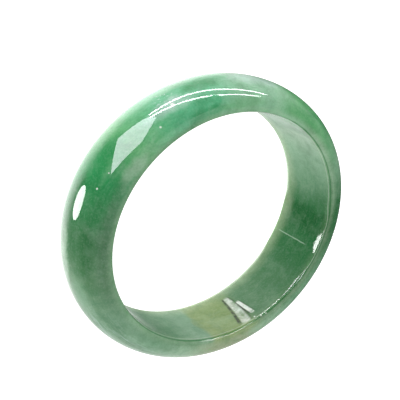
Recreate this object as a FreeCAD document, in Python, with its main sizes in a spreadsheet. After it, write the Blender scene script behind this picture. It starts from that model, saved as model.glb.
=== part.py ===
import FreeCAD, Part
import math
import os

import Sketcher

# Oval bangle bracelet carved from one piece of jadeite, lying flat on its lower rim.
#
# Frame, in millimetres: the origin is the centre of the opening on the resting plane,
# +X runs along the opening's long axis and +Z along the ring's axis.
#
# The opening is an oval of four tangent arcs: two tight ones at its ends on the X axis
# and two gentler ones at its sides on the Y axis. The band is one D-shaped section
# turned round each arc's centre in turn: a straight inner wall, a rounded edge and a
# narrow ground flat on each side, and a domed outer face. The inner wall keeps a natural
# hollow in the stone, two shallow polished scoops that lie side by side and lean a
# little from the ring's axis.

NODE = "jade_bangle"
SHEET = "Sizes"

# Driving dimensions: alias, value in millimetres or degrees, meaning.
DIMENSIONS = (
    ("bore_long", 57.0, "opening, inner wall to inner wall along X"),
    ("bore_short", 51.0, "opening, inner wall to inner wall along Y"),
    ("end_radius", 23.5, "radius of the opening's two end arcs"),
    ("band_width", 17.0, "width of the band along the ring's axis"),
    ("wall_thick", 6.8, "thickness from the inner wall to the crown of the dome"),
    ("edge_round", 0.9, "radius of the rounded inner edges"),
    ("side_flat", 0.5, "width of the flat on each side, which the bangle rests on"),
    ("hollow_place", -3.1, "large scoop, position along X"),
    ("hollow_height", 9.7, "large scoop, height of its middle above the resting plane"),
    ("hollow_depth", 0.55, "large scoop, depth below the inner wall"),
    ("hollow_length", 8.4, "large scoop, half length of its ellipsoid"),
    ("hollow_radius", 2.2, "large scoop, half width of its ellipsoid"),
    ("hollow_lean", 12.0, "lean of both scoops from the ring's axis, in degrees"),
    ("spur_step", 2.6, "small scoop, distance from the large one along X"),
    ("spur_lift", 0.9, "small scoop, height above the middle of the large one"),
    ("spur_depth", 0.3, "small scoop, depth below the inner wall"),
    ("spur_length", 4.6, "small scoop, half length of its ellipsoid"),
    ("spur_radius", 1.6, "small scoop, half width of its ellipsoid"),
)

# What follows from the driving dimensions, as expressions of the sheet's cells. The side
# arcs' radius is the one that makes them tangent to the end arcs, and the two kinds of
# arc meet on the line through their centres.
HALF_LONG = f"({SHEET}.bore_long / 2)"
HALF_SHORT = f"({SHEET}.bore_short / 2)"
END_RADIUS = f"{SHEET}.end_radius"
SIDE_RADIUS = (f"(({HALF_LONG} ^ 2 + {HALF_SHORT} ^ 2 - 2 * {HALF_LONG} * {END_RADIUS})"
               f" / (2 * ({HALF_SHORT} - {END_RADIUS})))")
END_HALF_ANGLE = f"atan2({SIDE_RADIUS} - {HALF_SHORT}; {HALF_LONG} - {END_RADIUS})"


def make_sheet(doc):
    """Write the driving dimensions into a spreadsheet with one alias per value."""
    sheet = doc.addObject("Spreadsheet::Sheet", SHEET)
    for row, (alias, value, meaning) in enumerate(DIMENSIONS, start=1):
        sheet.set(f"A{row}", alias)
        sheet.set(f"B{row}", str(value))
        sheet.set(f"C{row}", meaning)
        sheet.setAlias(f"B{row}", alias)
    doc.recompute()
    return sheet


def origin_plane(body, role):
    """Return one of the body's own origin planes by its role."""
    return next(item for item in body.Origin.OriginFeatures if item.Role == role)


def drive(sketch, name, expression, constraint):
    """Add a dimension to a sketch, name it and bind it to the sheet."""
    index = sketch.addConstraint(constraint)
    sketch.renameConstraint(index, name)
    sketch.setExpression(f"Constraints.{name}", expression)


def make_section(body, sheet, name, role, wall_place, half_opening, arc_radius):
    """Draw the band's D-shaped section and the centre line of the arc it is turned on.

    role is the origin plane that cuts the band there, wall_place the inner wall's
    distance from the ring's axis; half_opening and arc_radius are the expressions of
    that distance and of the opening's arc.
    """
    width = sheet.band_width
    round_edge = sheet.edge_round
    flat = sheet.side_flat
    dome_rise = sheet.wall_thick - round_edge - flat
    flat_start = wall_place + round_edge
    flat_end = flat_start + flat
    quarter = math.pi / 2
    up = FreeCAD.Vector(0, 0, 1)

    sketch = body.newObject("Sketcher::SketchObject", name)
    sketch.AttachmentSupport = [(origin_plane(body, role), "")]
    sketch.MapMode = "FlatFace"
    wall = sketch.addGeometry(Part.LineSegment(
        FreeCAD.Vector(wall_place, width - round_edge, 0),
        FreeCAD.Vector(wall_place, round_edge, 0)))
    lower_edge = sketch.addGeometry(Part.ArcOfCircle(
        Part.Circle(FreeCAD.Vector(flat_start, round_edge, 0), up, round_edge),
        2 * quarter, 3 * quarter))
    lower_flat = sketch.addGeometry(Part.LineSegment(
        FreeCAD.Vector(flat_start, 0, 0),
        FreeCAD.Vector(flat_end, 0, 0)))
    dome_oval = Part.Ellipse(
        FreeCAD.Vector(flat_end, width, 0),
        FreeCAD.Vector(flat_end - dome_rise, width / 2, 0),
        FreeCAD.Vector(flat_end, width / 2, 0))
    dome = sketch.addGeometry(Part.ArcOfEllipse(dome_oval, 2 * quarter, 4 * quarter))
    upper_flat = sketch.addGeometry(Part.LineSegment(
        FreeCAD.Vector(flat_end, width, 0),
        FreeCAD.Vector(flat_start, width, 0)))
    upper_edge = sketch.addGeometry(Part.ArcOfCircle(
        Part.Circle(FreeCAD.Vector(flat_start, width - round_edge, 0), up, round_edge),
        quarter, 2 * quarter))
    centre_line = sketch.addGeometry(Part.LineSegment(
        FreeCAD.Vector(0, 0, 0),
        FreeCAD.Vector(0, width, 0)), True)
    sketch.exposeInternalGeometry(dome)
    dome_height = centre_line + 1
    dome_depth = centre_line + 2

    for first, second in ((wall, lower_edge), (lower_edge, lower_flat),
                          (upper_flat, upper_edge), (upper_edge, wall)):
        sketch.addConstraint(Sketcher.Constraint("Tangent", first, 2, second, 1))
    sketch.addConstraint(Sketcher.Constraint("Coincident", lower_flat, 2, dome, 1))
    sketch.addConstraint(Sketcher.Constraint("Coincident", dome, 2, upper_flat, 1))
    sketch.addConstraint(Sketcher.Constraint("Coincident", dome, 1, dome_height, 2))
    sketch.addConstraint(Sketcher.Constraint("Coincident", dome, 2, dome_height, 1))
    for line in (wall, dome_height, centre_line):
        sketch.addConstraint(Sketcher.Constraint("Vertical", line))
    for line in (lower_flat, upper_flat):
        sketch.addConstraint(Sketcher.Constraint("Horizontal", line))
    sketch.addConstraint(Sketcher.Constraint("Equal", lower_edge, upper_edge))
    sketch.addConstraint(Sketcher.Constraint("Equal", centre_line, dome_height))
    for line in (lower_flat, centre_line):
        sketch.addConstraint(Sketcher.Constraint("PointOnObject", line, 1, -1))
    drive(sketch, "edge_round", f"{SHEET}.edge_round",
          Sketcher.Constraint("Radius", lower_edge, round_edge))
    drive(sketch, "half_opening", half_opening,
          Sketcher.Constraint("DistanceX", -1, 1, wall, 1, wall_place))
    drive(sketch, "side_flat", f"{SHEET}.side_flat",
          Sketcher.Constraint("DistanceX", lower_flat, 1, lower_flat, 2, flat))
    drive(sketch, "band_width", f"{SHEET}.band_width",
          Sketcher.Constraint("DistanceY", -1, 1, upper_flat, 1, width))
    drive(sketch, "dome_rise",
          f"2 * ({SHEET}.wall_thick - {SHEET}.edge_round - {SHEET}.side_flat)",
          Sketcher.Constraint("Distance", dome_depth, 2 * dome_rise))
    drive(sketch, "arc_radius", arc_radius,
          Sketcher.Constraint("DistanceX", centre_line, 1, wall, 1, wall_place))
    return sketch


def make_arc(doc, body, name, section, angle):
    """Turn a section about its centre line, half of the angle to each side."""
    arc = body.newObject("PartDesign::Revolution", name)
    arc.Profile = section
    arc.ReferenceAxis = (section, ["Axis0"])
    arc.Midplane = True
    arc.setExpression("Angle", angle)
    doc.recompute()
    return arc


def make_mirror(doc, body, name, arc, role):
    """Repeat an arc of the band on the other side of an origin plane."""
    mirror = body.newObject("PartDesign::Mirrored", name)
    mirror.Originals = [arc]
    mirror.MirrorPlane = (origin_plane(body, role), [""])
    mirror.Refine = True
    body.Tip = mirror
    doc.recompute()
    return mirror


def make_scoop(doc, body, name, prefix, place, height):
    """Cut a shallow scoop into the inner wall on its +Y side with a leaning ellipsoid.

    prefix is that of the scoop's depth, length and radius in the sheet; place and height
    are expressions for its middle along X and Z.
    """
    scoop = body.newObject("PartDesign::SubtractiveEllipsoid", name)
    scoop.setExpression("Radius1", f"{SHEET}.{prefix}_length")
    scoop.setExpression("Radius2", f"{SHEET}.{prefix}_radius")
    scoop.setExpression("Radius3", f"{SHEET}.{prefix}_radius")
    scoop.Placement.Rotation = FreeCAD.Rotation(FreeCAD.Vector(0, 1, 0), 1)
    scoop.setExpression("Placement.Rotation.Angle", f"{SHEET}.hollow_lean")
    wall_here = f"{HALF_SHORT} - {SIDE_RADIUS} + sqrt({SIDE_RADIUS} ^ 2 - ({place}) ^ 2)"
    stand_off = f"({SHEET}.{prefix}_radius - {SHEET}.{prefix}_depth)"
    scoop.setExpression("Placement.Base.x", place)
    scoop.setExpression("Placement.Base.y", f"{wall_here} - {stand_off}")
    scoop.setExpression("Placement.Base.z", height)
    doc.recompute()
    return scoop


def make_bangle(doc, sheet):
    """Build the bangle's one body: the band's four arcs, then the hollow in its wall."""
    body = doc.addObject("PartDesign::Body", "Bangle")
    body.Label = NODE
    body.Placement = FreeCAD.Placement()

    end_section = make_section(body, sheet, "EndSection", "XZ_Plane",
                               sheet.bore_long / 2, HALF_LONG, END_RADIUS)
    side_section = make_section(body, sheet, "SideSection", "YZ_Plane",
                                sheet.bore_short / 2, HALF_SHORT, SIDE_RADIUS)
    doc.recompute()
    end_arc = make_arc(doc, body, "EndArc", end_section, f"2 * {END_HALF_ANGLE}")
    side_arc = make_arc(doc, body, "SideArc", side_section,
                        f"180 deg - 2 * {END_HALF_ANGLE}")
    make_mirror(doc, body, "OtherEnd", end_arc, "YZ_Plane")
    make_mirror(doc, body, "OtherSide", side_arc, "XZ_Plane")
    report_volume(body, end_section, end_arc, side_arc)

    make_scoop(doc, body, "LargeScoop", "hollow",
               f"{SHEET}.hollow_place", f"{SHEET}.hollow_height")
    make_scoop(doc, body, "SmallScoop", "spur",
               f"{SHEET}.hollow_place - {SHEET}.spur_step",
               f"{SHEET}.hollow_height + {SHEET}.spur_lift")
    return body


def report_volume(body, section, end_arc, side_arc):
    """Print the band's volume beside its section's area times its centroid's path."""
    face = Part.Face(Part.Wire(section.Shape.Edges))
    wall_place = section.getDatum("half_opening").Value
    offset = face.CenterOfMass.x - wall_place
    path = 0
    for arc in (end_arc, side_arc):
        radius = arc.Profile[0].getDatum("arc_radius").Value + offset
        path += 2 * radius * math.radians(arc.Angle.Value)
    print("band volume", round(body.Shape.Volume, 1),
          "section times path", round(face.Area * path, 1))


def check(doc, body):
    """Stop if any object failed or the body isn't one valid closed solid."""
    for item in doc.Objects:
        state = " ".join(item.State)
        if "Invalid" in state or "Error" in state:
            raise RuntimeError(f"{item.Name} failed: {state}")
    shape = body.Shape
    if shape.isNull() or not shape.isValid() or len(shape.Solids) != 1:
        raise RuntimeError(f"{body.Label} is not one valid solid")


def main():
    doc = FreeCAD.newDocument("BangleBracelet")
    sheet = make_sheet(doc)
    body = make_bangle(doc, sheet)
    check(doc, body)
    os.makedirs("parts", exist_ok=True)
    body.Shape.exportStep(f"parts/{body.Label}.step")
    box = body.Shape.optimalBoundingBox(True, False)
    print(body.Label, "volume", round(body.Shape.Volume, 1), "box", box)
    flats = [face for face in body.Shape.Faces if face.Surface.TypeId == "Part::GeomPlane"]
    print("faces", len(body.Shape.Faces), "flats", [round(face.Area, 2) for face in flats])


main()
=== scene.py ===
"""Oval jade bangle on a pale studio floor.

The bangle is one ring of polished translucent green stone. Its shape is made by a
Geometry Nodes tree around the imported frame, its finish by one procedural material.
Everything is in metres in the frame's own axes: the ring's axis is +Z, the long axis of
its oval opening is X, and it lies on the floor at z = 0.
"""
from __future__ import annotations

import logging
import math
from dataclasses import dataclass, field
from enum import Enum

import bpy
from mathutils import Matrix, Vector

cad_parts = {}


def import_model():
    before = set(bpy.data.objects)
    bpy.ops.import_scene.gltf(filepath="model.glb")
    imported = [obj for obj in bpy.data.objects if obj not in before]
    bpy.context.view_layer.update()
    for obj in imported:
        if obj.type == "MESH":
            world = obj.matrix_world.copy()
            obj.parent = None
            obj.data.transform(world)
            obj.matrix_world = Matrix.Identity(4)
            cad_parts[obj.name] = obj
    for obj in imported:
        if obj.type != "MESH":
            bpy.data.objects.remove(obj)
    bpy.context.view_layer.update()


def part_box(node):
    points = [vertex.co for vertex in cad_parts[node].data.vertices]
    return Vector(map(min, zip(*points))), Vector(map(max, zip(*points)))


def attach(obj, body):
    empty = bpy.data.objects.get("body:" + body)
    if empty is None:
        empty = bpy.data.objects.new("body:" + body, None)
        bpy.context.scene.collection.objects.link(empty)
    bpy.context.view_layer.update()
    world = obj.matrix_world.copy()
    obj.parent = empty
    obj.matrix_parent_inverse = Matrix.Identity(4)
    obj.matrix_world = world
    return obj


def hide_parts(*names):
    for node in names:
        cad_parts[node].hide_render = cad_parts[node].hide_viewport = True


MM = 0.001
NODE = "jade_bangle"
PIECE = "polished_stone_ring"
LOG = logging.getLogger("bangle")

Colour = tuple[float, float, float]
Triple = tuple[float, float, float]


def srgb(red: int, green: int, blue: int) -> Colour:
    """Turn a display colour of 0 to 255 a channel into linear light.

    Args:
        red: red channel.
        green: green channel.
        blue: blue channel.

    Returns:
        The three linear values.
    """
    def linear(channel: int) -> float:
        """Undo the display curve for one channel.

        Args:
            channel: the channel, 0 to 255.

        Returns:
            Its linear value.
        """
        share = channel / 255
        if share <= 0.04045:
            return share / 12.92
        return ((share + 0.055) / 1.055) ** 2.4

    return linear(red), linear(green), linear(blue)


class Mark(Enum):
    """What the carved ring stores at each of its points, for its finish to read."""

    # The hollow's painted highlight in its bed and painted shade on its rim, stored as strengths.
    PAINTED_HIGHLIGHT = "painted_highlight"
    PAINTED_SHADE = "painted_shade"


class Jade(Enum):
    """The greens, and the few warmer tones, that cloud through the stone."""

    MILK = srgb(166, 202, 170)
    MINT = srgb(150, 204, 166)
    CELADON = srgb(130, 176, 140)
    SAGE = srgb(106, 154, 116)
    FERN = srgb(86, 134, 92)
    MOSS = srgb(66, 122, 78)
    FOREST = srgb(46, 114, 64)
    BOTTLE = srgb(16, 98, 42)
    HONEY = srgb(172, 188, 152)
    OLIVE = srgb(136, 160, 94)
    APPLE = srgb(100, 180, 116)
    EMERALD = srgb(44, 146, 84)
    SPRING = srgb(106, 194, 146)
    FROST = srgb(190, 222, 208)


class Writer:
    """Adds and joins the nodes of one tree, for shapes and finishes alike."""

    def __init__(self, tree: bpy.types.NodeTree) -> None:
        """Keep the tree and clear it.

        Args:
            tree: the shader or geometry tree to write.
        """
        self.tree = tree
        tree.nodes.clear()

    def node(self, kind: str, **settings: object) -> bpy.types.Node:
        """Add a node.

        Args:
            kind: the node's type name.
            settings: properties to set on it.

        Returns:
            The new node.
        """
        made = self.tree.nodes.new(kind)
        for name, value in settings.items():
            setattr(made, name, value)
        return made

    def feed(self, socket: bpy.types.NodeSocket, value: object) -> None:
        """Give an input its value.

        Args:
            socket: the input.
            value: an Amount, an output socket, or a constant.
        """
        if isinstance(value, Amount):
            value = value.socket
        if isinstance(value, bpy.types.NodeSocket):
            self.tree.links.new(value, socket)
        else:
            socket.default_value = value

    def math(self, operation: str, *values: object) -> Amount:
        """Add a Math node.

        Args:
            operation: the node's operation.
            values: its inputs in order.

        Returns:
            The result.
        """
        made = self.node("ShaderNodeMath", operation=operation)
        for socket, value in zip(made.inputs, values):
            self.feed(socket, value)
        return Amount(self, made.outputs[0])

    def ease(self, value: object, start: object, end: object) -> Amount:
        """Rise smoothly from 0 to 1 while a value goes from start to end."""
        return self._map_range("SMOOTHSTEP", value, start, end)

    def share(self, value: object, start: object, end: object) -> Amount:
        """Rise evenly from 0 to 1 while a value goes from start to end."""
        return self._map_range("LINEAR", value, start, end)

    def _map_range(self, kind: str, value: object, start: object, end: object) -> Amount:
        """Add a Map Range node that is held at both ends.

        Args:
            kind: the node's interpolation.
            value: what is measured.
            start: where the result is 0.
            end: where the result is 1.

        Returns:
            The result.
        """
        made = self.node("ShaderNodeMapRange", interpolation_type=kind, clamp=True)
        self.feed(made.inputs["Value"], value)
        self.feed(made.inputs["From Min"], start)
        self.feed(made.inputs["From Max"], end)
        return Amount(self, made.outputs["Result"])

    def noise(self, vector: object, scale: float, detail: float = 2.0,
              roughness: float = 0.5, distortion: float = 0.0) -> Amount:
        """Add a Noise Texture.

        Args:
            vector: the coordinates.
            scale: waves to the metre.
            detail: octaves.
            roughness: weight of the finer octaves.
            distortion: how far the pattern is stirred.

        Returns:
            The noise, about 0 to 1 with its middle at 0.5.
        """
        made = self.node("ShaderNodeTexNoise")
        self.feed(made.inputs["Vector"], vector)
        made.inputs["Scale"].default_value = scale
        made.inputs["Detail"].default_value = detail
        made.inputs["Roughness"].default_value = roughness
        made.inputs["Distortion"].default_value = distortion
        return Amount(self, made.outputs[0])

    def split(self, vector: object) -> tuple[Amount, Amount, Amount]:
        """Split a vector into its three amounts.

        Args:
            vector: the vector's socket.

        Returns:
            Its X, Y and Z.
        """
        made = self.node("ShaderNodeSeparateXYZ")
        self.feed(made.inputs[0], vector)
        x, y, z = (Amount(self, output) for output in made.outputs)
        return x, y, z

    def join(self, x: object, y: object, z: object) -> bpy.types.NodeSocket:
        """Join three amounts into a vector.

        Args:
            x: along X.
            y: along Y.
            z: along Z.

        Returns:
            The vector's socket.
        """
        made = self.node("ShaderNodeCombineXYZ")
        for socket, value in zip(made.inputs, (x, y, z)):
            self.feed(socket, value)
        return made.outputs[0]

    def blend(self, share: object, first: object, second: object) -> bpy.types.NodeSocket:
        """Mix two colours.

        Args:
            share: how much of the second, 0 to 1.
            first: the colour below.
            second: the colour above.

        Returns:
            The mixed colour.
        """
        made = self.node("ShaderNodeMix", data_type="RGBA")
        self.feed(made.inputs[0], share)
        for socket, value in ((made.inputs[6], first), (made.inputs[7], second)):
            if isinstance(value, tuple):
                value = (*value, 1.0)
            self.feed(socket, value)
        return made.outputs[2]


@dataclass(frozen=True)
class Amount:
    """A number that runs through a node tree, with ordinary arithmetic."""

    writer: Writer
    socket: bpy.types.NodeSocket

    def __add__(self, other: object) -> Amount:
        """Add."""
        return self.writer.math("ADD", self, other)

    def __sub__(self, other: object) -> Amount:
        """Subtract."""
        return self.writer.math("SUBTRACT", self, other)

    def __mul__(self, other: object) -> Amount:
        """Multiply."""
        return self.writer.math("MULTIPLY", self, other)

    def __truediv__(self, other: object) -> Amount:
        """Divide."""
        return self.writer.math("DIVIDE", self, other)

    def __rsub__(self, other: float) -> Amount:
        """Subtract from a constant."""
        return self.writer.math("SUBTRACT", other, self)

    def __pow__(self, other: object) -> Amount:
        """Raise to a power."""
        return self.writer.math("POWER", self, other)

    def sin(self) -> Amount:
        """Sine of an angle in radians."""
        return self.writer.math("SINE", self)

    def cos(self) -> Amount:
        """Cosine of an angle in radians."""
        return self.writer.math("COSINE", self)

    def root(self) -> Amount:
        """Square root."""
        return self.writer.math("SQRT", self)

    def size(self) -> Amount:
        """Distance from zero."""
        return self.writer.math("ABSOLUTE", self)


@dataclass(frozen=True)
class Groove:
    """One polished groove of the natural hollow, in the inner wall on its +Y side.

    Sizes are in metres. The groove starts at a narrow foot, bends towards its head, and
    is deepest near the head. The painted highlight is how strongly its bed is painted pale, a
    highlight painted into the stone's colour. Bend and deepen are the powers by which it
    bends and sinks on its way up, and fade is the share of the way up from where it runs out
    again.
    """

    foot_x: float
    foot_z: float
    foot_half: float
    head_x: float
    head_z: float
    head_half: float
    depth: float
    painted_highlight: float
    bend: float = 1.8
    deepen: float = 0.7
    fade: float = 0.86


@dataclass(frozen=True)
class Tone:
    """The stone's colour at one place round the ring, in degrees from +X towards +Y."""

    degrees: float
    jade: Jade


@dataclass(frozen=True)
class Cloud:
    """A patch of other colour in the outer wall.

    Degrees run round the ring from +X; tilt is the dome's, from -90 at the resting edge
    through 0 at the crown to 90 at the upper edge.
    """

    degrees: float
    tilt: float
    half_degrees: float
    half_tilt: float
    jade: Jade
    strength: float


@dataclass(frozen=True)
class PaintedGlint:
    """A painted glint: a tiny pale dot that stands for light caught by a pit in the surface, in
    metres.
    """

    place: Triple
    radius: float


@dataclass(frozen=True)
class Grain:
    """One size of mottling in the stone.

    Waves are to the metre. The noise pales the stone above pale_from and deepens it below
    deep_from, in full at pale_full and deep_full.
    """

    waves: float
    octaves: float
    coarse: float
    stir: float
    pale_from: float
    pale_full: float
    pale: float
    deep_from: float
    deep_full: float
    deep: float


@dataclass(frozen=True)
class Hairline:
    """A fine healed crack that climbs the inner wall, with its place and widths in degrees.

    It leans as it climbs, wavers with noise, and fades from its core to its rim.
    """

    degrees: float = 146.5
    lean: float = 1.0
    waver: float = 0.6
    core: float = 0.12
    rim: float = 0.42
    strength: float = 0.6


@dataclass(frozen=True)
class PaintedEdgeLine:
    """A painted line along the upper inner edge, between two depths into the stone, in metres; the
    edge's painted highlight and its painted shade are each one.
    """

    start: float
    end: float
    soft: float
    strength: float


@dataclass(frozen=True)
class Surface:
    """Where a point of the stone is.

    Place is in metres, turn is 0 to 1 round the ring from +X, level is 0 to 1 up the band,
    tilt is the dome's in degrees, and depth is in metres outwards from the opening.
    """

    place: bpy.types.NodeSocket
    turn: Amount
    level: Amount
    tilt: Amount
    depth: Amount


@dataclass(frozen=True)
class JadeFinish:
    """Polished jadeite: clouded greens that change round the ring, under a wet gloss.

    The inner wall's colour gives way to the outer one's between inner_until and
    outer_from, in metres out from the opening. A wander is how far noise shifts the tones,
    in turns, or the clouds, in degrees. A cloud is full to cloud_core and gone at
    cloud_rim, in its own half sizes.
    """

    name: str = "jade"
    inner: tuple[Tone, ...] = (
        Tone(0, Jade.SAGE), Tone(30, Jade.CELADON), Tone(50, Jade.SAGE),
        Tone(73, Jade.SAGE), Tone(76, Jade.OLIVE), Tone(94, Jade.OLIVE),
        Tone(102, Jade.FERN), Tone(112, Jade.FERN), Tone(132, Jade.MOSS),
        Tone(148, Jade.FOREST), Tone(156, Jade.BOTTLE), Tone(164, Jade.BOTTLE),
        Tone(166, Jade.FOREST), Tone(180, Jade.SAGE), Tone(196, Jade.CELADON),
        Tone(213, Jade.MILK), Tone(216, Jade.CELADON), Tone(235, Jade.MINT),
        Tone(290, Jade.SAGE), Tone(360, Jade.SAGE),
    )
    outer: tuple[Tone, ...] = (
        Tone(0, Jade.FERN), Tone(20, Jade.SAGE), Tone(45, Jade.CELADON),
        Tone(60, Jade.MILK), Tone(76, Jade.HONEY), Tone(90, Jade.HONEY),
        Tone(102, Jade.MILK), Tone(120, Jade.CELADON), Tone(142, Jade.SAGE),
        Tone(156, Jade.FOREST), Tone(172, Jade.FOREST), Tone(190, Jade.CELADON),
        Tone(215, Jade.APPLE), Tone(232, Jade.APPLE), Tone(245, Jade.MINT),
        Tone(257, Jade.MINT), Tone(270, Jade.SPRING), Tone(288, Jade.SPRING),
        Tone(303, Jade.APPLE), Tone(320, Jade.EMERALD), Tone(342, Jade.MOSS),
        Tone(360, Jade.FERN),
    )
    clouds: tuple[Cloud, ...] = (
        Cloud(286, 36, 10, 15, Jade.FROST, 0.8),
        Cloud(278, -4, 14, 12, Jade.MINT, 0.6),
        Cloud(249, 18, 9, 22, Jade.FROST, 0.7),
        Cloud(270, 18, 8, 15, Jade.EMERALD, 0.8),
        Cloud(274, 80, 9, 14, Jade.EMERALD, 0.6),
        Cloud(259, 78, 13, 15, Jade.APPLE, 0.6),
        Cloud(216, 56, 9, 12, Jade.EMERALD, 0.35),
        Cloud(314, 14, 12, 18, Jade.EMERALD, 0.8),
        Cloud(330, -2, 10, 12, Jade.BOTTLE, 0.5),
        Cloud(352, -2, 8, 9, Jade.MILK, 0.6),
        Cloud(311, 80, 7, 14, Jade.MILK, 0.7),
        Cloud(345, 45, 14, 12, Jade.BOTTLE, 0.4),
        Cloud(340, 78, 28, 16, Jade.BOTTLE, 0.45),
        Cloud(38, 50, 16, 12, Jade.MOSS, 0.5),
        Cloud(8, 24, 12, 16, Jade.CELADON, 0.5),
        Cloud(60, 10, 12, 20, Jade.FROST, 0.4),
    )
    # Pale crackle in the dome, partly painted sparkle where its tiny pits catch the light.
    crackle: Cloud = Cloud(285, 20, 4.5, 24, Jade.FROST, 0.9)
    streaks: Cloud = Cloud(34, 35, 26, 40, Jade.FROST, 0.42)
    patch: Grain = Grain(130, 3, 0.60, 0.6, 0.52, 0.78, 0.22, 0.48, 0.22, 0.45)
    mottle: Grain = Grain(360, 4, 0.65, 0.4, 0.50, 0.80, 0.12, 0.52, 0.22, 0.34)
    crystal: Grain = Grain(2300, 2, 0.60, 0.0, 0.50, 0.85, 0.14, 0.50, 0.15, 0.24)
    fibre: float = 0.05
    hairline: Hairline = Hairline()
    # Painted highlight along the upper inner edge, and painted shade beside it.
    edge_painted_highlight: PaintedEdgeLine = PaintedEdgeLine(0.02 * MM, 0.06 * MM, 0.03 * MM, 0.42)
    edge_painted_shade: PaintedEdgeLine = PaintedEdgeLine(0.14 * MM, 0.28 * MM, 0.06 * MM, 0.6)
    inner_until: float = 0.3 * MM
    outer_from: float = 2.2 * MM
    inner_wander: float = 0.016
    outer_wander: float = 0.03
    cloud_wander: float = 20.0
    cloud_sway: float = 40.0
    cloud_core: float = 0.35
    cloud_rim: float = 1.35
    low_glow: float = 0.62
    low_until: float = 0.3
    high_glow: float = 0.16
    high_from: float = 0.84
    # Strengths of the hollow's painted shade and painted highlight, and of the painted glints.
    painted_shade_strength: float = 1.2
    painted_highlight_strength: float = 1.1
    glint_strength: float = 0.9
    # Painted glints: pale dots standing for light caught by tiny pits.
    painted_glints: tuple[PaintedGlint, ...] = (
        PaintedGlint((0.0134, -0.0272, 0.0157), 0.26 * MM),
        PaintedGlint((0.0278, -0.0182, 0.0136), 0.22 * MM),
        PaintedGlint((0.0251, -0.0208, 0.0142), 0.16 * MM),
        PaintedGlint((0.0089, -0.0301, 0.0134), 0.50 * MM),
        PaintedGlint((-0.0061, 0.0249, 0.0162), 0.34 * MM),
        PaintedGlint((-0.0048, 0.0251, 0.0154), 0.24 * MM),
        PaintedGlint((-0.0074, 0.0247, 0.0165), 0.26 * MM),
        PaintedGlint((-0.0108, 0.0238, 0.0160), 0.22 * MM),
    )
    pale: Colour = srgb(186, 214, 190)
    glow: Colour = srgb(196, 212, 176)
    # Deep green of the mottle and fibres, also the colour of the edge's painted shade.
    deep: Colour = srgb(30, 112, 58)
    # Pale colour of the painted highlights and glints, and dark colour of the hollow's painted
    # shade.
    highlight_white: Colour = srgb(246, 250, 244)
    painted_shade: Colour = srgb(40, 62, 30)
    roughness: float = 0.03
    uneven_gloss: float = 0.03
    ripple: float = 0.03
    ripple_height: float = 0.05 * MM
    index: float = 1.66
    translucence: float = 0.45
    bleed: Triple = (0.6, 1.0, 0.75)
    bleed_depth: float = 2.5 * MM

    def material(self, half_long: float, half_short: float,
                 width: float) -> bpy.types.Material:
        """Build the material.

        Args:
            half_long: half of the opening along X, in metres.
            half_short: half of the opening along Y, in metres.
            width: width of the band along Z, in metres.

        Returns:
            The finished material.
        """
        made = bpy.data.materials.new(self.name)
        made.use_nodes = True
        write = Writer(made.node_tree)
        spot = self._surface(write, half_long, half_short, width)
        inner = self._inner_wall(write, spot)
        outer = self._outer_wall(write, spot)
        out = write.ease(spot.depth, self.inner_until, self.outer_from)
        colour = write.blend(out, inner, outer)
        # Some steps paint light and shade into the colour: the hollow's and the edge's painted
        # highlight and shade, painted sparkle and painted glints.
        for step in (self._grained, self._paint_hollow_light, self._paint_edge_light, self._cracked,
                     self._crackled, self._paint_glints):
            colour = step(write, spot, colour)

        shader = write.node("ShaderNodeBsdfPrincipled")
        write.feed(shader.inputs["Base Color"], colour)
        gloss = (write.noise(spot.place, 700, 3, 0.6) - 0.5) * self.uneven_gloss
        write.feed(shader.inputs["Roughness"], gloss + self.roughness)
        shader.inputs["IOR"].default_value = self.index
        shader.inputs["Subsurface Weight"].default_value = self.translucence
        shader.inputs["Subsurface Radius"].default_value = self.bleed
        shader.inputs["Subsurface Scale"].default_value = self.bleed_depth
        bump = write.node("ShaderNodeBump")
        bump.inputs["Strength"].default_value = self.ripple
        bump.inputs["Distance"].default_value = self.ripple_height
        write.feed(bump.inputs["Height"], write.noise(spot.place, 1500, 2))
        write.feed(shader.inputs["Normal"], bump.outputs[0])
        output = write.node("ShaderNodeOutputMaterial")
        write.feed(output.inputs["Surface"], shader.outputs[0])
        return made

    def _surface(self, write: Writer, half_long: float, half_short: float,
                 width: float) -> Surface:
        """Work out where a point is round, up and out from the opening.

        Args:
            write: the material's writer.
            half_long: half of the opening along X, in metres.
            half_short: half of the opening along Y, in metres.
            width: width of the band along Z, in metres.

        Returns:
            The point's place in the finish's own measures.
        """
        place = write.node("ShaderNodeTexCoord").outputs["Object"]
        x, y, z = write.split(place)
        angle = write.math("ARCTAN2", y / half_short, x / half_long)
        turn = write.math("FRACT", angle / math.tau + 1.0)
        reach = ((x / half_long) ** 2 + (y / half_short) ** 2).root()
        depth = (reach - 1.0) * ((half_long + half_short) / 2)
        level = z / width
        tilt = write.math("ARCSINE", level * 2.0 - 1.0) * (180 / math.pi)
        return Surface(place, turn, level, tilt, depth)

    def _inner_wall(self, write: Writer, spot: Surface) -> bpy.types.NodeSocket:
        """Colour the inner wall, paler where light comes in at its two edges.

        Args:
            write: the material's writer.
            spot: where the point is.

        Returns:
            The wall's colour.
        """
        stir = write.noise(spot.place, 220, 3, 0.6)
        colour = self._run(write, self.inner, spot.turn + (stir - 0.5) * self.inner_wander)
        low = 1.0 - write.ease(spot.level + (stir - 0.5) * 0.1, 0.0, self.low_until)
        high = write.ease(spot.level, self.high_from, 1.0)
        return write.blend(low * self.low_glow + high * self.high_glow, colour, self.glow)

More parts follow.
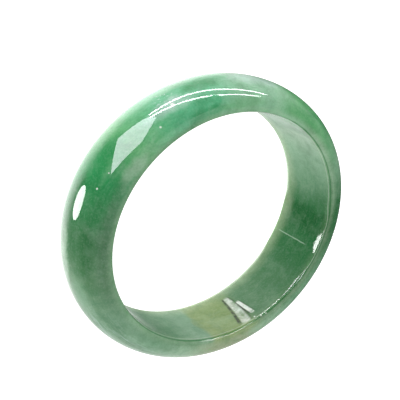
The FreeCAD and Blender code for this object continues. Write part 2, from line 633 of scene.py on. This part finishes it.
    def _outer_wall(self, write: Writer, spot: Surface) -> bpy.types.NodeSocket:
        """Colour the outer wall and its clouds.

        Args:
            write: the material's writer.
            spot: where the point is.

        Returns:
            The wall's colour.
        """
        stir = write.noise(spot.place, 190, 4, 0.65)
        sway = write.noise(spot.place, 150, 4, 0.65, 0.5)
        colour = self._run(write, self.outer, spot.turn + (stir - 0.5) * self.outer_wander)
        degrees = spot.turn * 360.0 + (stir - 0.5) * self.cloud_wander
        slant = spot.tilt + (sway - 0.5) * self.cloud_sway
        for cloud in self.clouds:
            away = self._away(write, cloud, degrees, slant)
            share = (1.0 - write.ease(away, self.cloud_core, self.cloud_rim)) * cloud.strength
            colour = write.blend(share, colour, cloud.jade.value)
        return colour

    def _run(self, write: Writer, tones: tuple[Tone, ...],
             around: Amount) -> bpy.types.NodeSocket:
        """Run a colour round the ring, from a closed row of tones.

        Args:
            write: the material's writer.
            tones: the tones in order, from 0 to 360 degrees.
            around: place round the ring, with 1 for a whole turn.

        Returns:
            The colour there.
        """
        made = write.node("ShaderNodeValToRGB")
        made.color_ramp.interpolation = "LINEAR"
        stops = made.color_ramp.elements
        for tone in tones[1:-1]:
            stops.new(tone.degrees / 360)
        for stop, tone in zip(stops, tones):
            stop.position = tone.degrees / 360
            stop.color = (*tone.jade.value, 1.0)
        write.feed(made.inputs[0], write.math("FRACT", around + 1.0))
        return made.outputs[0]

    def _away(self, write: Writer, cloud: Cloud, degrees: Amount, tilt: Amount) -> Amount:
        """Measure how far a place is from a cloud's middle, with 1 at its rim.

        Args:
            write: the material's writer.
            cloud: the cloud.
            degrees: place round the ring.
            tilt: place up the dome, in degrees.

        Returns:
            The distance, in the cloud's own half sizes.
        """
        along = write.math("WRAP", degrees - cloud.degrees, 180.0, -180.0)
        over = along / cloud.half_degrees
        up = (tilt - cloud.tilt) / cloud.half_tilt
        return (over * over + up * up).root()

    def _outside(self, write: Writer, spot: Surface) -> Amount:
        """1 on the dome, 0 on the inner wall."""
        return write.ease(spot.depth, 0.5 * MM, 1.5 * MM)

    def _line(self, write: Writer, spot: Surface, line: PaintedEdgeLine) -> Amount:
        """Trace a painted line along the upper inner edge, for its painted highlight and its
        painted shade.

        Args:
            write: the material's writer.
            spot: where the point is.
            line: the line.

        Returns:
            The line's share, which fades to 0 on both sides.
        """
        top = write.ease(spot.level, 0.90, 0.96)
        rise = write.ease(spot.depth, line.start, line.start + line.soft)
        fall = 1.0 - write.ease(spot.depth, line.end, line.end + line.soft)
        return top * rise * fall * line.strength

    def _mottled(self, write: Writer, spot: Surface, grain: Grain,
                 colour: bpy.types.NodeSocket) -> bpy.types.NodeSocket:
        """Add one size of mottling.

        Args:
            write: the material's writer.
            spot: where the point is.
            grain: the mottling.
            colour: the colour so far.

        Returns:
            The colour with it.
        """
        noise = write.noise(spot.place, grain.waves, grain.octaves, grain.coarse, grain.stir)
        share = write.share(noise, grain.pale_from, grain.pale_full) * grain.pale
        colour = write.blend(share, colour, self.pale)
        share = write.share(noise, grain.deep_from, grain.deep_full) * grain.deep
        return write.blend(share, colour, self.deep)

    def _grained(self, write: Writer, spot: Surface,
                 colour: bpy.types.NodeSocket) -> bpy.types.NodeSocket:
        """Add soft patches, mottling, fibres that run round the ring, and crystal grain.

        Args:
            write: the material's writer.
            spot: where the point is.
            colour: the colour so far.

        Returns:
            The colour with them.
        """
        colour = self._mottled(write, spot, self.patch, colour)
        colour = self._mottled(write, spot, self.mottle, colour)
        way = write.join(spot.turn * 26.0, spot.tilt / 9.0, spot.depth * 300.0)
        fibre = write.noise(way, 1.0, 4, 0.6, 0.8)
        streaks = self.streaks
        near = 1.0 - write.ease(self._away(write, streaks, spot.turn * 360.0, spot.tilt), 0.5, 1.2)
        drawn = near * self._outside(write, spot) * streaks.strength + self.fibre
        colour = write.blend(write.share(fibre, 0.5, 0.72) * drawn, colour, streaks.jade.value)
        colour = write.blend(write.share(fibre, 0.5, 0.26) * drawn, colour, self.deep)
        return self._mottled(write, spot, self.crystal, colour)

    def _paint_hollow_light(self, write: Writer, spot: Surface,
               colour: bpy.types.NodeSocket) -> bpy.types.NodeSocket:
        """Add the painted shade on the hollow's rim and the painted highlight in its bed, both
        made patchy by noise.

        Args:
            write: the material's writer.
            spot: where the point is.
            colour: the colour so far.

        Returns:
            The colour with them.
        """
        # Painted shade on the hollow's +X rim, then a painted highlight in its bed.
        for kind, tint, most in ((Mark.PAINTED_SHADE, self.painted_shade, self.painted_shade_strength),
                                 (Mark.PAINTED_HIGHLIGHT, self.highlight_white, self.painted_highlight_strength)):
            mark = write.node("ShaderNodeAttribute", attribute_name=kind.value)
            # Noise makes both painted marks patchy.
            patchiness = (write.noise(spot.place, 600, 3, 0.7) - 0.5) * 2.8 + 0.8
            share = write.share(Amount(write, mark.outputs["Fac"]) * patchiness * most, 0.0, 1.0)
            colour = write.blend(share, colour, tint)
        return colour

    def _paint_edge_light(self, write: Writer, spot: Surface,
               colour: bpy.types.NodeSocket) -> bpy.types.NodeSocket:
        """Add painted highlight as a pale line, and painted shade as a dark line beside it, along
        the upper inner edge.

        Args:
            write: the material's writer.
            spot: where the point is.
            colour: the colour so far.

        Returns:
            The colour with them.
        """
        # Painted highlight first, then painted shade.
        colour = write.blend(self._line(write, spot, self.edge_painted_highlight), colour, self.highlight_white)
        return write.blend(self._line(write, spot, self.edge_painted_shade), colour, self.deep)

    def _cracked(self, write: Writer, spot: Surface,
                 colour: bpy.types.NodeSocket) -> bpy.types.NodeSocket:
        """Add the hairline in the inner wall.

        Args:
            write: the material's writer.
            spot: where the point is.
            colour: the colour so far.

        Returns:
            The colour with it.
        """
        crack = self.hairline
        waver = (write.noise(spot.place, 900, 2) - 0.5) * crack.waver
        off = (spot.turn * 360.0 + spot.level * crack.lean + waver - crack.degrees).size()
        line = 1.0 - write.ease(off, crack.core, crack.rim)
        climb = write.ease(spot.level, 0.08, 0.16) * (1.0 - write.ease(spot.level, 0.66, 0.76))
        inside = 1.0 - write.ease(spot.depth, 0.1 * MM, 0.4 * MM)
        return write.blend(line * climb * inside * crack.strength, colour, self.pale)

    def _crackled(self, write: Writer, spot: Surface,
                  colour: bpy.types.NodeSocket) -> bpy.types.NodeSocket:
        """Add the spot of pale specks in the dome: pale crackle in the stone, with painted sparkle
        where its tiny pits catch the light.

        Args:
            write: the material's writer.
            spot: where the point is.
            colour: the colour so far.

        Returns:
            The colour with them.
        """
        crackle = self.crackle
        near = 1.0 - write.ease(self._away(write, crackle, spot.turn * 360.0, spot.tilt), 0.4, 1.2)
        # Painted sparkle: tiny pale specks that also stand for glints of the pits.
        painted_sparkle = write.ease(write.noise(spot.place, 1700, 2, 0.6, 0.6), 0.56, 0.64)
        share = near * painted_sparkle * self._outside(write, spot) * crackle.strength
        return write.blend(share, colour, crackle.jade.value)

    def _paint_glints(self, write: Writer, spot: Surface,
                 colour: bpy.types.NodeSocket) -> bpy.types.NodeSocket:
        """Add the painted glints: pale dots that stand for light caught by tiny pits.

        Args:
            write: the material's writer.
            spot: where the point is.
            colour: the colour so far.

        Returns:
            The colour with them.
        """
        # Each painted glint fades out round its place.
        for glint in self.painted_glints:
            gap = write.node("ShaderNodeVectorMath", operation="DISTANCE")
            write.feed(gap.inputs[0], spot.place)
            gap.inputs[1].default_value = glint.place
            away = Amount(write, gap.outputs["Value"])
            share = 1.0 - write.ease(away, glint.radius * 0.5, glint.radius * 1.2)
            colour = write.blend(share * self.glint_strength, colour, self.highlight_white)
        return colour


@dataclass
class Bangle:
    """The stone ring: a D-shaped section carried round an oval opening.

    Sizes are in metres. The opening and the band's width come from the frame's box; the
    thickness and the section's small sizes are the carver's. The upper and lower inner
    edges are crisper round one place: crisp_from and crisp_full are cosines of the angle
    from it. Steps are counts of faces, gathered towards the hollow.
    """

    finish: JadeFinish
    wall_thick: float = 6.8 * MM
    edge_round: float = 0.9 * MM
    edge_rise: float = 1.7 * MM
    side_flat: float = 0.5 * MM
    crisp_rise: float = 0.6 * MM
    crisp_degrees: float = 150.0
    crisp_from: float = 0.93
    crisp_full: float = 0.985
    grooves: tuple[Groove, ...] = (
        Groove(foot_x=-4.1 * MM, foot_z=3.6 * MM, foot_half=0.5 * MM,
               head_x=-2.2 * MM, head_z=16.1 * MM, head_half=1.6 * MM,
               depth=0.55 * MM, painted_highlight=0.66),
        Groove(foot_x=-5.4 * MM, foot_z=7.2 * MM, foot_half=0.5 * MM,
               head_x=-5.6 * MM, head_z=14.0 * MM, head_half=0.7 * MM,
               depth=0.30 * MM, painted_highlight=1.1),
    )
    steps_round: int = 640
    steps_wall: int = 64
    steps_edge: int = 12
    steps_flat: int = 2
    steps_dome: int = 48
    gather: float = 0.6
    gather_degrees: float = 98.0
    skin: float = 0.01 * MM
    weld: float = 0.001 * MM
    half_long: float = field(init=False)
    half_short: float = field(init=False)
    width: float = field(init=False)

    def __post_init__(self) -> None:
        """Read the opening and the band's width from the frame."""
        low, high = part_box(NODE)
        self.half_long = high.x - self.wall_thick
        self.half_short = high.y - self.wall_thick
        self.width = high.z - low.z

    def build(self) -> bpy.types.Object:
        """Make the ring as a plain closed mesh.

        Returns:
            The piece, at the origin.
        """
        material = self.finish.material(self.half_long, self.half_short, self.width)
        carrier = bpy.data.objects.new("carrier", bpy.data.meshes.new("carrier"))
        bpy.context.scene.collection.objects.link(carrier)
        modifier = carrier.modifiers.new("Carve", "NODES")
        modifier.node_group = self._tree(material)
        for item in modifier.node_group.interface.items_tree:
            if item.item_type == "SOCKET" and item.in_out == "INPUT":
                if item.socket_type != "NodeSocketGeometry":
                    modifier[item.identifier] = item.default_value
        bpy.context.view_layer.update()
        seen = carrier.evaluated_get(bpy.context.evaluated_depsgraph_get())
        mesh = bpy.data.meshes.new_from_object(seen)
        mesh.name = PIECE
        piece = bpy.data.objects.new(PIECE, mesh)
        bpy.context.scene.collection.objects.link(piece)
        carrier.modifiers.remove(modifier)
        bpy.data.objects.remove(carrier)
        return piece

    def _tree(self, material: bpy.types.Material) -> bpy.types.NodeTree:
        """Write the Geometry Nodes tree that carves the ring.

        Args:
            material: the stone's finish.

        Returns:
            The tree.
        """
        tree = bpy.data.node_groups.new("CarveRing", "GeometryNodeTree")
        interface = tree.interface
        interface.new_socket("Geometry", in_out="OUTPUT", socket_type="NodeSocketGeometry")
        sizes = {
            "Half Long": self.half_long,
            "Half Short": self.half_short,
            "Band Width": self.width,
            "Wall Thickness": self.wall_thick,
            "Edge Round": self.edge_round,
            "Edge Rise": self.edge_rise,
            "Crisp Rise": self.crisp_rise,
            "Side Flat": self.side_flat,
        }
        for name, value in sizes.items():
            socket = interface.new_socket(name, in_out="INPUT", socket_type="NodeSocketFloat")
            socket.default_value = value
        write = Writer(tree)
        given = write.node("NodeGroupInput")
        size = {name: Amount(write, given.outputs[name]) for name in sizes}

        rows = self.steps_wall + 2 * (self.steps_edge + self.steps_flat) + self.steps_dome
        grid = write.node("GeometryNodeMeshGrid")
        grid.inputs["Size X"].default_value = 1.0
        grid.inputs["Size Y"].default_value = 1.0
        grid.inputs["Vertices X"].default_value = self.steps_round + 1
        grid.inputs["Vertices Y"].default_value = rows + 1
        place, marks = self._carve(write, rows, size)
        geometry = grid.outputs["Mesh"]
        for mark, value in marks.items():
            keep = write.node("GeometryNodeStoreNamedAttribute",
                              data_type="FLOAT", domain="POINT")
            write.feed(keep.inputs["Geometry"], geometry)
            keep.inputs["Name"].default_value = mark.value
            write.feed(keep.inputs["Value"], value)
            geometry = keep.outputs[0]
        shape = write.node("GeometryNodeSetPosition")
        write.feed(shape.inputs["Position"], place)
        weld = write.node("GeometryNodeMergeByDistance")
        weld.inputs["Distance"].default_value = self.weld
        smooth = write.node("GeometryNodeSetShadeSmooth")
        real = write.node("GeometryNodeRealizeInstances")
        dress = write.node("GeometryNodeSetMaterial")
        dress.inputs["Material"].default_value = material
        for step in (shape, weld, smooth, real, dress):
            write.feed(step.inputs["Geometry"], geometry)
            geometry = step.outputs[0]
        output = write.node("NodeGroupOutput")
        write.feed(output.inputs[0], geometry)
        return tree

    def _carve(self, write: Writer, rows: int, size: dict[str, Amount],
               ) -> tuple[bpy.types.NodeSocket, dict[Mark, Amount]]:
        """Carry the section round the oval and sink the hollow.

        Args:
            write: the tree's writer.
            rows: steps round the section.
            size: the tree's named sizes.

        Returns:
            Each point's place, and its marks.
        """
        sheet = write.node("GeometryNodeInputPosition").outputs[0]
        across, along, _ = write.split(sheet)
        angle = self._angle(across + 0.5)
        tall = self._edge_height(write, angle, size)
        offset, height = self._section(write, (along + 0.5) * rows, tall, size)
        step_x = angle.cos() / size["Half Long"]
        step_y = angle.sin() / size["Half Short"]
        length = (step_x * step_x + step_y * step_y).root()
        wall_x = angle.cos() * size["Half Long"]
        wall_y = angle.sin() * size["Half Short"]
        sunk, painted_highlight, painted_shade = self._hollow(write, wall_x, wall_y, height)
        on_wall = write.math("LESS_THAN", offset, self.skin)
        reach = offset + sunk * on_wall
        place = write.join(wall_x + step_x / length * reach,
                           wall_y + step_y / length * reach, height)
        return place, {Mark.PAINTED_HIGHLIGHT: painted_highlight * on_wall, Mark.PAINTED_SHADE: painted_shade * on_wall}

    def _angle(self, share: Amount) -> Amount:
        """Angle round the oval, with its steps gathered towards the hollow."""
        turn = share * math.tau
        return turn - (turn - math.radians(self.gather_degrees)).sin() * self.gather

    def _section(self, write: Writer, row: Amount, tall: Amount,
                 size: dict[str, Amount]) -> tuple[Amount, Amount]:
        """Walk the D-shaped section from the top of the inner wall round and back.

        Args:
            write: the tree's writer.
            row: steps walked so far.
            tall: height of the rounded inner edge.
            size: the tree's named sizes.

        Returns:
            The offset outwards from the opening's oval, and the height.
        """
        width, edge, flat = size["Band Width"], size["Edge Round"], size["Side Flat"]
        rise = size["Wall Thickness"] - edge - flat
        ends = [0]
        for steps in (self.steps_wall, self.steps_edge, self.steps_flat,
                      self.steps_dome, self.steps_flat, self.steps_edge):
            ends.append(ends[-1] + steps)
        wall, lower_edge, lower_flat, dome, upper_flat, upper_edge = (
            write.share(row, start, end) for start, end in zip(ends, ends[1:]))
        lower = lower_edge * (math.pi / 2)
        upper = upper_edge * (math.pi / 2)
        arch = (dome - 0.5) * math.pi
        offset = (edge * (1.0 - lower.cos()) + flat * lower_flat + rise * arch.cos()
                  - flat * upper_flat - edge * upper.sin())
        height = (width - tall - (width - tall * 2.0) * wall - tall * lower.sin()
                  + width * 0.5 * (arch.sin() + 1.0) - tall * (1.0 - upper.cos()))
        return offset, height

    def _hollow(self, write: Writer, x: Amount, y: Amount,
                z: Amount) -> tuple[Amount, Amount, Amount]:
        """Sink the natural hollow into the inner wall.

        Args:
            write: the tree's writer.
            x: place along X.
            y: place along Y.
            z: height.

        Returns:
            How far the wall sinks, the strength of the painted highlight in the hollow's bed, and
            that of the painted shade on its rim.
        """
        total = highlight_white = shade = 0.0
        for groove in self.grooves:
            along = write.share(z, groove.foot_z, groove.head_z)
            middle = along ** groove.bend * (groove.head_x - groove.foot_x) + groove.foot_x
            half = along.root() * (groove.head_half - groove.foot_half) + groove.foot_half
            over = (x - middle) / half
            bowl = write.math("MAXIMUM", 1.0 - over * over, 0.0)
            fall = 1.0 - write.ease(along, groove.fade, 1.0)
            total = bowl * along ** groove.deepen * fall * groove.depth + total
            # The bed is painted pale as a highlight short of its +X side, where the painted shade
            # on the rim round it is strongest.
            side = 1.0 - write.ease(over, 0.4, 0.8)
            ends = write.ease(along, 0.0, 0.1) * (1.0 - write.ease(along, 0.8, 1.0))
            highlight_white = write.ease(bowl, 0.0, 0.5) * side * ends * groove.painted_highlight + highlight_white
            # Painted shade on the rim round the groove, strongest towards +X.
            rim = write.ease(over.size(), 0.6, 0.85) * (1.0 - write.ease(over.size(), 1.1, 1.5))
            shade = rim * ends * write.ease(over, -2.4, 0.6) + shade
        plus_side = write.math("GREATER_THAN", y, 0.0)
        return total * plus_side, highlight_white * plus_side, shade * plus_side

    def _edge_height(self, write: Writer, angle: Amount, size: dict[str, Amount]) -> Amount:
        """Find the height of the inner edge's rounding, which is crisper in one place.

        Args:
            write: the tree's writer.
            angle: angle round the oval, in radians.
            size: the tree's named sizes.

        Returns:
            The height.
        """
        towards = (angle - math.radians(self.crisp_degrees)).cos()
        crisp = write.ease(towards, self.crisp_from, self.crisp_full)
        return size["Edge Rise"] + (size["Crisp Rise"] - size["Edge Rise"]) * crisp


class Face(Enum):
    """Outline of a lamp's face, as corners across and up, each within -1 to 1."""

    DISC = tuple((math.cos(step * math.tau / 32), math.sin(step * math.tau / 32))
                 for step in range(32))
    SHIELD = ((1.0, 0.65), (-0.5, 1.0), (-1.0, -0.15), (-0.65, -0.7), (0.3, -1.0))
    CARD = ((1.0, 1.0), (-1.0, 1.0), (-1.0, -1.0), (1.0, -1.0))


@dataclass(frozen=True)
class Panel:
    """A flat lamp that faces the frame's origin, in metres, turned by spin degrees.

    With no glow it is a black flag, which keeps the lamps behind it off part of the stone.
    """

    name: str
    face: Face
    middle: Triple
    half_wide: float
    half_tall: float
    spin: float
    glow: float
    tint: Colour = (1.0, 1.0, 1.0)

    def build(self) -> None:
        """Make the panel, seen only as a reflection in the polish."""
        middle = Vector(self.middle)
        away = middle.normalized()
        side = Vector((0, 0, 1)).cross(away).normalized()
        top = away.cross(side)
        turn = math.radians(self.spin)
        wide = (side * math.cos(turn) + top * math.sin(turn)) * self.half_wide
        tall = (top * math.cos(turn) - side * math.sin(turn)) * self.half_tall
        places = [middle + wide * across + tall * up for across, up in self.face.value]
        mesh = bpy.data.meshes.new(self.name)
        mesh.from_pydata(places, [], [tuple(range(len(places)))])
        panel = bpy.data.objects.new(self.name, mesh)
        bpy.context.scene.collection.objects.link(panel)
        mesh.materials.append(glowing(self.name, self.glow, self.tint))
        mirror_only(panel)


@dataclass(frozen=True)
class Tube:
    """A thin tube light bent through a few points, in metres."""

    name: str
    points: tuple[Triple, ...]
    radius: float
    glow: float

    def build(self) -> None:
        """Make the tube, seen only as a reflection in the polish."""
        curve = bpy.data.curves.new(self.name, "CURVE")
        curve.dimensions = "3D"
        curve.bevel_depth = self.radius
        curve.bevel_resolution = 2
        curve.use_fill_caps = True
        spline = curve.splines.new("NURBS")
        spline.points.add(len(self.points) - 1)
        for point, place in zip(spline.points, self.points):
            point.co = (*place, 1.0)
        spline.order_u = 3
        spline.use_endpoint_u = True
        curve.materials.append(glowing(self.name, self.glow))
        tube = bpy.data.objects.new(self.name, curve)
        bpy.context.scene.collection.objects.link(tube)
        mirror_only(tube)


def mirror_only(lamp: bpy.types.Object) -> None:
    """Leave a light to show only as a reflection in the polish.

    Args:
        lamp: the light's object.
    """
    lamp.visible_camera = False
    lamp.visible_diffuse = False
    lamp.visible_shadow = False


def glowing(name: str, glow: float,
            tint: Colour = (1.0, 1.0, 1.0)) -> bpy.types.Material:
    """Make the plain glowing finish of a studio light.

    Args:
        name: the material's name.
        glow: its brightness.
        tint: its colour.

    Returns:
        The material.
    """
    made = bpy.data.materials.new(name)
    made.use_nodes = True
    write = Writer(made.node_tree)
    shader = write.node("ShaderNodeEmission")
    shader.inputs["Color"].default_value = (*tint, 1.0)
    shader.inputs["Strength"].default_value = glow
    output = write.node("ShaderNodeOutputMaterial")
    write.feed(output.inputs["Surface"], shader.outputs[0])
    return made


@dataclass(frozen=True)
class Side:
    """A side of the room that the polish mirrors darker or brighter than the rest.

    Aim is the way to it. Begins and full are cosines of the angle from that way.
    """

    aim: Triple
    begins: float
    full: float
    change: float

    def seen(self, write: Writer, way: object) -> Amount:
        """Work out how much of the change a ray meets.

        Args:
            write: the world's writer.
            way: the ray's direction.

        Returns:
            The change there.
        """
        x, y, z = write.split(way)
        across, along, up = self.aim
        return write.ease(x * across + y * along + z * up, self.begins, self.full) * self.change


@dataclass
class Studio:
    """Pale floor, soft lights and an even pale room."""

    lights: tuple[Panel | Tube, ...] = (
        Panel("main_softbox", Face.SHIELD, (0.14, -0.31, -0.02), 0.12, 0.175, -10, 7.0,
              (0.93, 0.86, 1.0)),
        Panel("near_softbox", Face.DISC, (0.073, -0.028, -0.029), 0.0135, 0.0135, 0, 11.0),
        Panel("low_strip", Face.DISC, (0.015, -0.0065, -0.0240), 0.0060, 0.0008, 0, 12.0),
        Panel("black_flag", Face.CARD, (0.0, -0.045, 0.0325), 0.016, 0.0155, 0, 0.0),
        Tube("outer_tube", (
            (0.03, -0.35, -0.13), (-0.10, -0.34, -0.12),
            (-0.23, -0.30, 0.0), (-0.31, -0.19, 0.10)), 0.010, 16.0),
        Tube("inner_tube", (
            (0.04, -0.36, -0.09), (-0.11, -0.37, 0.0),
            (-0.21, -0.29, 0.12), (-0.29, -0.18, 0.17)), 0.010, 16.0),
    )
    floor_size: float = 4.0
    floor_glow: float = 0.72
    floor_rest: float = 0.08
    fill: float = 0.8
    front: Side = Side((0.90, -0.42, -0.09), 0.1, 0.85, 0.66)
    side: Side = Side((-0.75, 0.63, 0.17), 0.55, 0.93, 0.68)
    back: Side = Side((-0.85, 0.30, -0.43), 0.8, 0.95, 0.72)
    below: Side = Side((0.0, 0.0, -1.0), 0.74, 0.95, 1.4)
    far_tone: float = 0.80
    pool: float = 0.07
    pool_edge: float = 0.20

    def build(self) -> None:
        """Make the floor, the lights and the world."""
        self._floor()
        for light in self.lights:
            light.build()
        self._world()

    def _floor(self) -> None:
        """Lay a wide pale floor under the ring, brightest round it."""
        half = self.floor_size / 2
        mesh = bpy.data.meshes.new("studio_floor")
        corners = [(-half, -half, 0.0), (half, -half, 0.0),
                   (half, half, 0.0), (-half, half, 0.0)]
        mesh.from_pydata(corners, [], [(0, 1, 2, 3)])
        floor = bpy.data.objects.new("studio_floor", mesh)
        bpy.context.scene.collection.objects.link(floor)
        paper = bpy.data.materials.new("white_paper")
        paper.use_nodes = True
        write = Writer(paper.node_tree)
        shader = write.node("ShaderNodeBsdfPrincipled")
        shader.inputs["Base Color"].default_value = (0.9, 0.9, 0.9, 1.0)
        shader.inputs["Roughness"].default_value = 0.9
        shader.inputs["Emission Color"].default_value = (1.0, 1.0, 1.0, 1.0)
        x, y, _ = write.split(write.node("ShaderNodeTexCoord").outputs["Object"])
        pool = 1.0 - write.ease((x * x + y * y).root(), self.pool, self.pool_edge)
        write.feed(shader.inputs["Emission Strength"], pool * self.floor_glow + self.floor_rest)
        output = write.node("ShaderNodeOutputMaterial")
        write.feed(output.inputs["Surface"], shader.outputs[0])
        mesh.materials.append(paper)
        floor.visible_glossy = False
        floor.visible_shadow = False

    def _world(self) -> None:
        """Fill the room evenly, with dimmer sides and a bright floor for the polish to mirror."""
        world = bpy.data.worlds.new("studio")
        world.use_nodes = True
        bpy.context.scene.world = world
        write = Writer(world.node_tree)
        way = write.node("ShaderNodeTexCoord").outputs["Generated"]
        front, side, back, below = (
            part.seen(write, way) for part in (self.front, self.side, self.back, self.below))
        dim = write.math("MAXIMUM", write.math("MAXIMUM", front, side), back)
        ray = write.node("ShaderNodeLightPath")
        level = Amount(write, ray.outputs["Is Glossy Ray"]) * (below - dim) + self.fill
        far = Amount(write, ray.outputs["Is Camera Ray"]) * self.far_tone
        background = write.node("ShaderNodeBackground")
        background.inputs["Color"].default_value = (1.0, 1.0, 1.0, 1.0)
        write.feed(background.inputs["Strength"], write.math("MAXIMUM", level, far))
        output = write.node("ShaderNodeOutputWorld")
        write.feed(output.inputs["Surface"], background.outputs[0])


@dataclass(frozen=True)
class Viewpoint:
    """Where the camera stands: above and in front of the ring, rolled about its sight line.

    Aim and distance are in metres, the lens and sensor in millimetres and angles in
    degrees: azimuth from +X towards +Y, tilt from the ring's axis.
    """

    aim: Triple = (0.0007, -0.0039, 0.0060)
    distance: float = 0.171
    azimuth: float = -42.2
    tilt: float = 38.66
    roll: float = 118.67
    focal_length: float = 68.5
    sensor: float = 36.0

    def build(self) -> bpy.types.Object:
        """Make the camera and set it as the scene's.

        Returns:
            The camera's object.
        """
        azimuth, tilt, roll = map(math.radians, (self.azimuth, self.tilt, self.roll))
        back = Vector((math.sin(tilt) * math.cos(azimuth),
                       math.sin(tilt) * math.sin(azimuth), math.cos(tilt)))
        level = Vector((0, 0, 1)).cross(back).normalized()
        upright = back.cross(level)
        right = math.cos(roll) * level + math.sin(roll) * upright
        up = back.cross(right)
        lens = bpy.data.cameras.new("camera")
        lens.lens = self.focal_length
        lens.sensor_width = self.sensor
        lens.clip_start = 0.01
        lens.clip_end = 20.0
        camera = bpy.data.objects.new("camera", lens)
        turn = Matrix((right, up, back)).transposed().to_4x4()
        camera.matrix_world = Matrix.Translation(Vector(self.aim) + self.distance * back) @ turn
        bpy.context.scene.collection.objects.link(camera)
        bpy.context.scene.camera = camera
        return camera


def corners(box: tuple[Vector, Vector]) -> list[list[float]]:
    """Turn a box's two corners into plain lists."""
    return [list(corner) for corner in box]


def main() -> None:
    """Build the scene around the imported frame."""
    logging.basicConfig(level=logging.INFO, format="%(name)s: %(message)s")
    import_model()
    Viewpoint().build()
    LOG.info("camera set")

    bangle = Bangle(JadeFinish())
    piece = bangle.build()
    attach(piece, "root")
    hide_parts(NODE)
    LOG.info("%s: %d faces", piece.name, len(piece.data.polygons))

    Studio().build()
    bpy.context.scene.view_settings.view_transform = "Standard"
    LOG.info("studio lit")


if __name__ == "__main__":
    main()
